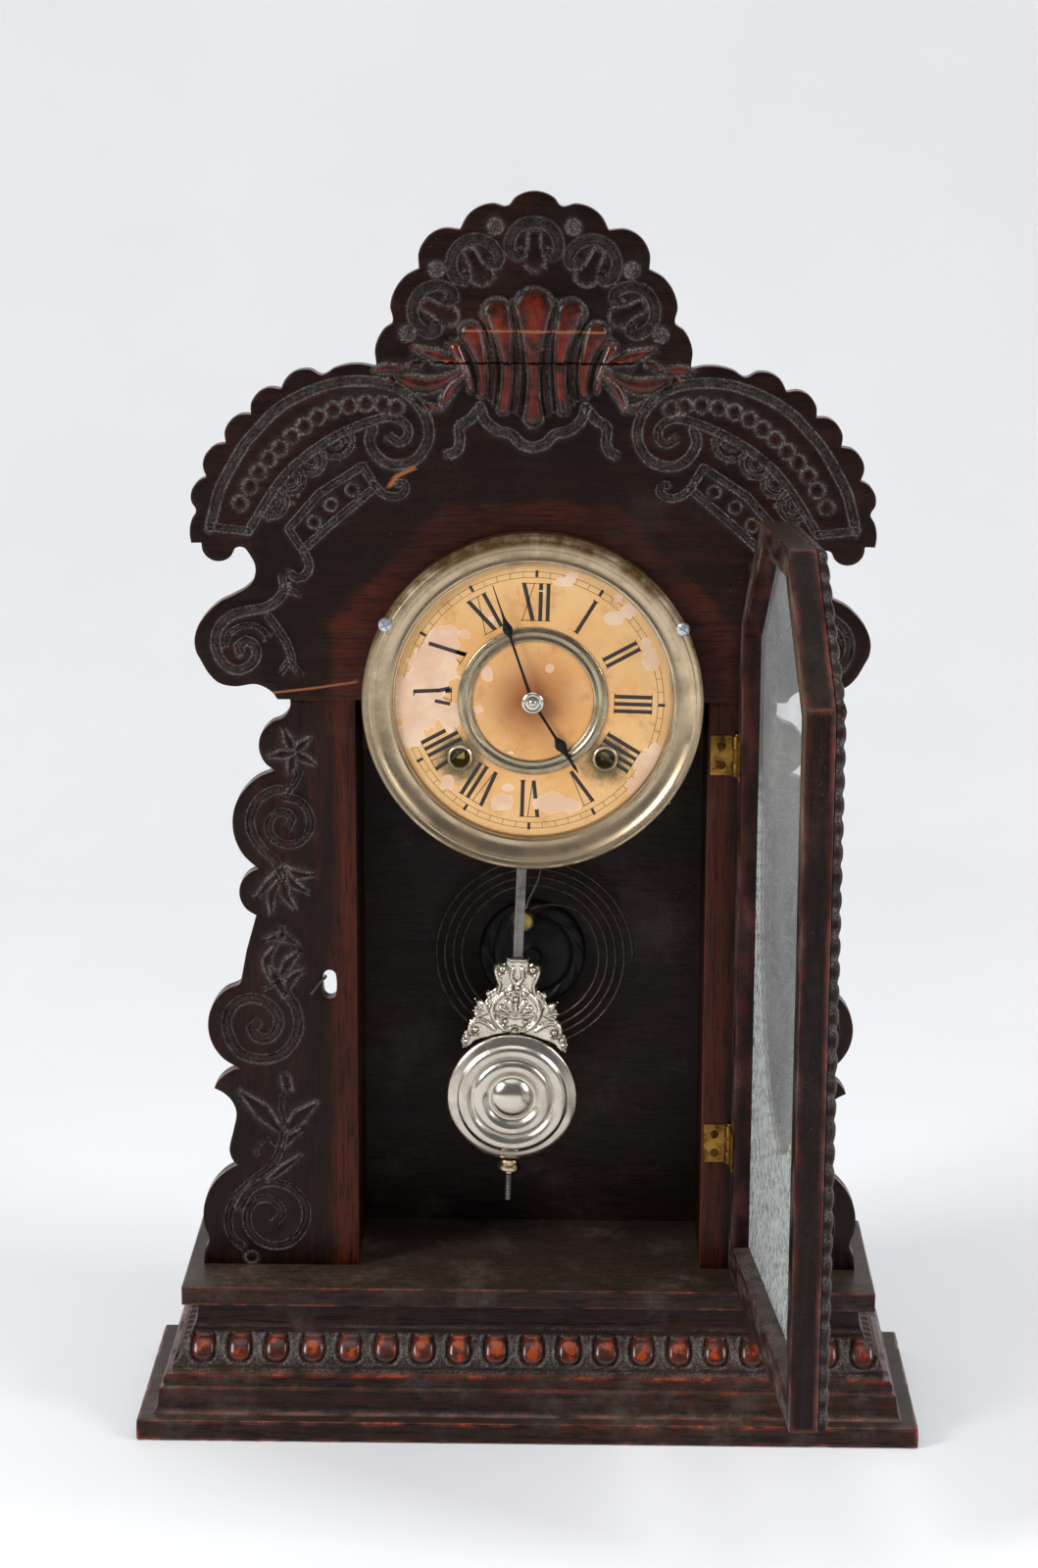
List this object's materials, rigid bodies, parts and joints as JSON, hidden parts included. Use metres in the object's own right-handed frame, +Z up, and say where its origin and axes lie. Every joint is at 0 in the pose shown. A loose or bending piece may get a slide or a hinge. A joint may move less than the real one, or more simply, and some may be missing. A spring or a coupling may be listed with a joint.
{
  "type": "pressed-wood shelf clock",
  "caption": "Spring-driven striking shelf clock with carved front boards, stepped base, glazed door on pin hinges, round dial and a pendulum.",
  "frame": {"origin": "underside of the base, on the centre line, below the front face of the carved front boards", "axes": "+X to the right seen from the front, +Y from the front into the depth, +Z up"},
  "size_m": [0.358, 0.2535, 0.5633],
  "materials": {
    "stained_wood": "dark stained varnish, worn at the edges",
    "raw_wood": "bare, aged",
    "brass": "dull, aged",
    "steel": "dull",
    "nickel": "worn plating",
    "black_iron": "blackened",
    "dial_paper": "yellowed printed paper, worn through in patches",
    "glass": "old sheet glass"
  },
  "bodies": {
    "case": {"base_slab": "stained_wood", "base_front_moulding": "stained_wood", "base_left_moulding": "stained_wood", "base_right_moulding": "stained_wood", "platform_board": "stained_wood", "case_left_side": "stained_wood", "case_right_side": "stained_wood", "case_top_board": "raw_wood", "back_board": "raw_wood", "lower_movement_rail": "raw_wood", "upper_movement_rail": "raw_wood", "crest_board": "stained_wood", "head_board": "stained_wood", "left_fret_board": "stained_wood", "right_fret_board": "stained_wood", "latch_keeper": "steel", "upper_hinge_case_leaf": "brass", "upper_hinge_pin": "brass", "lower_hinge_case_leaf": "brass", "lower_hinge_pin": "brass", "dial_pan": "nickel", "dial_paper": "dial_paper", "dial_centre_ring": "nickel", "left_winding_grommet": "nickel", "right_winding_grommet": "nickel", "left_dial_screw": "steel", "right_dial_screw": "steel", "movement_front_plate": "brass", "movement_back_plate": "brass", "time_mainspring": "steel", "strike_mainspring": "steel", "suspension_post": "brass", "gong_base": "black_iron", "gong_coil": "steel"},
    "door": {"door_hinge_stile": "stained_wood", "door_upper_hinge_rail": "stained_wood", "door_top_rail": "stained_wood", "door_upper_latch_rail": "stained_wood", "door_latch_stile": "stained_wood", "door_bottom_rail": "stained_wood", "door_glass": "glass", "door_bead": "stained_wood", "upper_hinge_door_leaf": "brass", "lower_hinge_door_leaf": "brass"},
    "minute_hand": {"minute_hand": "black_iron", "hand_nut": "steel"},
    "hour_hand": {"hour_hand": "black_iron"},
    "time_great_wheel": {"time_great_wheel": "brass"},
    "strike_great_wheel": {"strike_great_wheel": "brass"},
    "time_second_wheel": {"time_second_wheel": "brass"},
    "strike_second_wheel": {"strike_second_wheel": "brass"},
    "centre_wheel": {"centre_wheel": "brass"},
    "third_wheel": {"third_wheel": "brass"},
    "escape_wheel": {"escape_wheel": "brass"},
    "verge": {"verge_crutch": "steel"},
    "pendulum": {"pendulum_rod": "steel", "pendulum_ornament": "nickel"},
    "bob": {"pendulum_bob": "nickel"},
    "rating_nut": {"rating_nut": "brass"},
    "hammer": {"hammer": "brass"}
  },
  "joints": [
    {"name": "door_hinge", "type": "hinge", "parent": "case", "child": "door", "pos_m": [0.0926, -0.0022, 0.221], "axis": [0, 0, 1], "range_deg": [-95.4, 5]},
    {"name": "centre_wheel_turn", "type": "hinge", "parent": "case", "child": "centre_wheel", "pos_m": [0.0005, 0, 0.3379], "axis": [0, 1, 0], "continuous": true},
    {"name": "minute_hand_turn", "type": "hinge", "parent": "case", "child": "minute_hand", "pos_m": [0.0005, -0.006, 0.3379], "axis": [0, 1, 0], "continuous": true},
    {"name": "hour_hand_turn", "type": "hinge", "parent": "case", "child": "hour_hand", "pos_m": [0.0005, -0.0044, 0.3379], "axis": [0, 1, 0], "continuous": true},
    {"name": "time_second_turn", "type": "hinge", "parent": "case", "child": "time_second_wheel", "pos_m": [0.02635, 0.04, 0.33998], "axis": [0, 1, 0], "continuous": true},
    {"name": "time_great_turn", "type": "hinge", "parent": "case", "child": "time_great_wheel", "pos_m": [0.0332, 0.04, 0.3116], "axis": [0, 1, 0], "continuous": true},
    {"name": "third_wheel_turn", "type": "hinge", "parent": "case", "child": "third_wheel", "pos_m": [-0.01535, 0.03, 0.35258], "axis": [0, 1, 0], "continuous": true},
    {"name": "escape_wheel_turn", "type": "hinge", "parent": "case", "child": "escape_wheel", "pos_m": [0.0005, 0.022, 0.3624], "axis": [0, 1, 0], "continuous": true},
    {"name": "strike_great_turn", "type": "hinge", "parent": "case", "child": "strike_great_wheel", "pos_m": [-0.0322, 0.04, 0.3116], "axis": [0, 1, 0], "continuous": true},
    {"name": "strike_second_turn", "type": "hinge", "parent": "case", "child": "strike_second_wheel", "pos_m": [-0.03877, 0.04, 0.34004], "axis": [0, 1, 0], "continuous": true},
    {"name": "pendulum_swing", "type": "hinge", "parent": "case", "child": "pendulum", "pos_m": [0, 0.012, 0.3763], "axis": [0, 1, 0], "range_deg": [-6, 2]},
    {"name": "verge_swing", "type": "hinge", "parent": "case", "child": "verge", "pos_m": [0, 0.03, 0.3763], "axis": [0, 1, 0], "range_deg": [-6, 2]},
    {"name": "bob_slide", "type": "slide", "parent": "pendulum", "child": "bob", "axis": [-0.0361, 0, -0.9993], "range_m": [0, 0.003]},
    {"name": "rating_nut_turn", "type": "hinge", "parent": "bob", "child": "rating_nut", "pos_m": [0, 0.012, 0.3763], "axis": [-0.0361, 0, -0.9993], "range_deg": [0, 1545]},
    {"name": "hammer_swing", "type": "hinge", "parent": "case", "child": "hammer", "pos_m": [0.0065, 0.05, 0.2919], "axis": [0, 1, 0], "range_deg": [0, 10]}
  ],
  "couplings": [
    {"joint": "minute_hand_turn", "follows": "centre_wheel_turn", "ratio": 1},
    {"joint": "hour_hand_turn", "follows": "centre_wheel_turn", "ratio": 0.083333},
    {"joint": "time_second_turn", "follows": "centre_wheel_turn", "ratio": -0.18182},
    {"joint": "time_great_turn", "follows": "centre_wheel_turn", "ratio": 0.030303},
    {"joint": "third_wheel_turn", "follows": "centre_wheel_turn", "ratio": -5},
    {"joint": "escape_wheel_turn", "follows": "centre_wheel_turn", "ratio": 22.5},
    {"joint": "strike_second_turn", "follows": "strike_great_turn", "ratio": -6},
    {"joint": "verge_swing", "follows": "pendulum_swing", "ratio": 1},
    {"joint": "rating_nut_turn", "follows": "bob_slide", "rad_per_m": 8976}
  ]
}
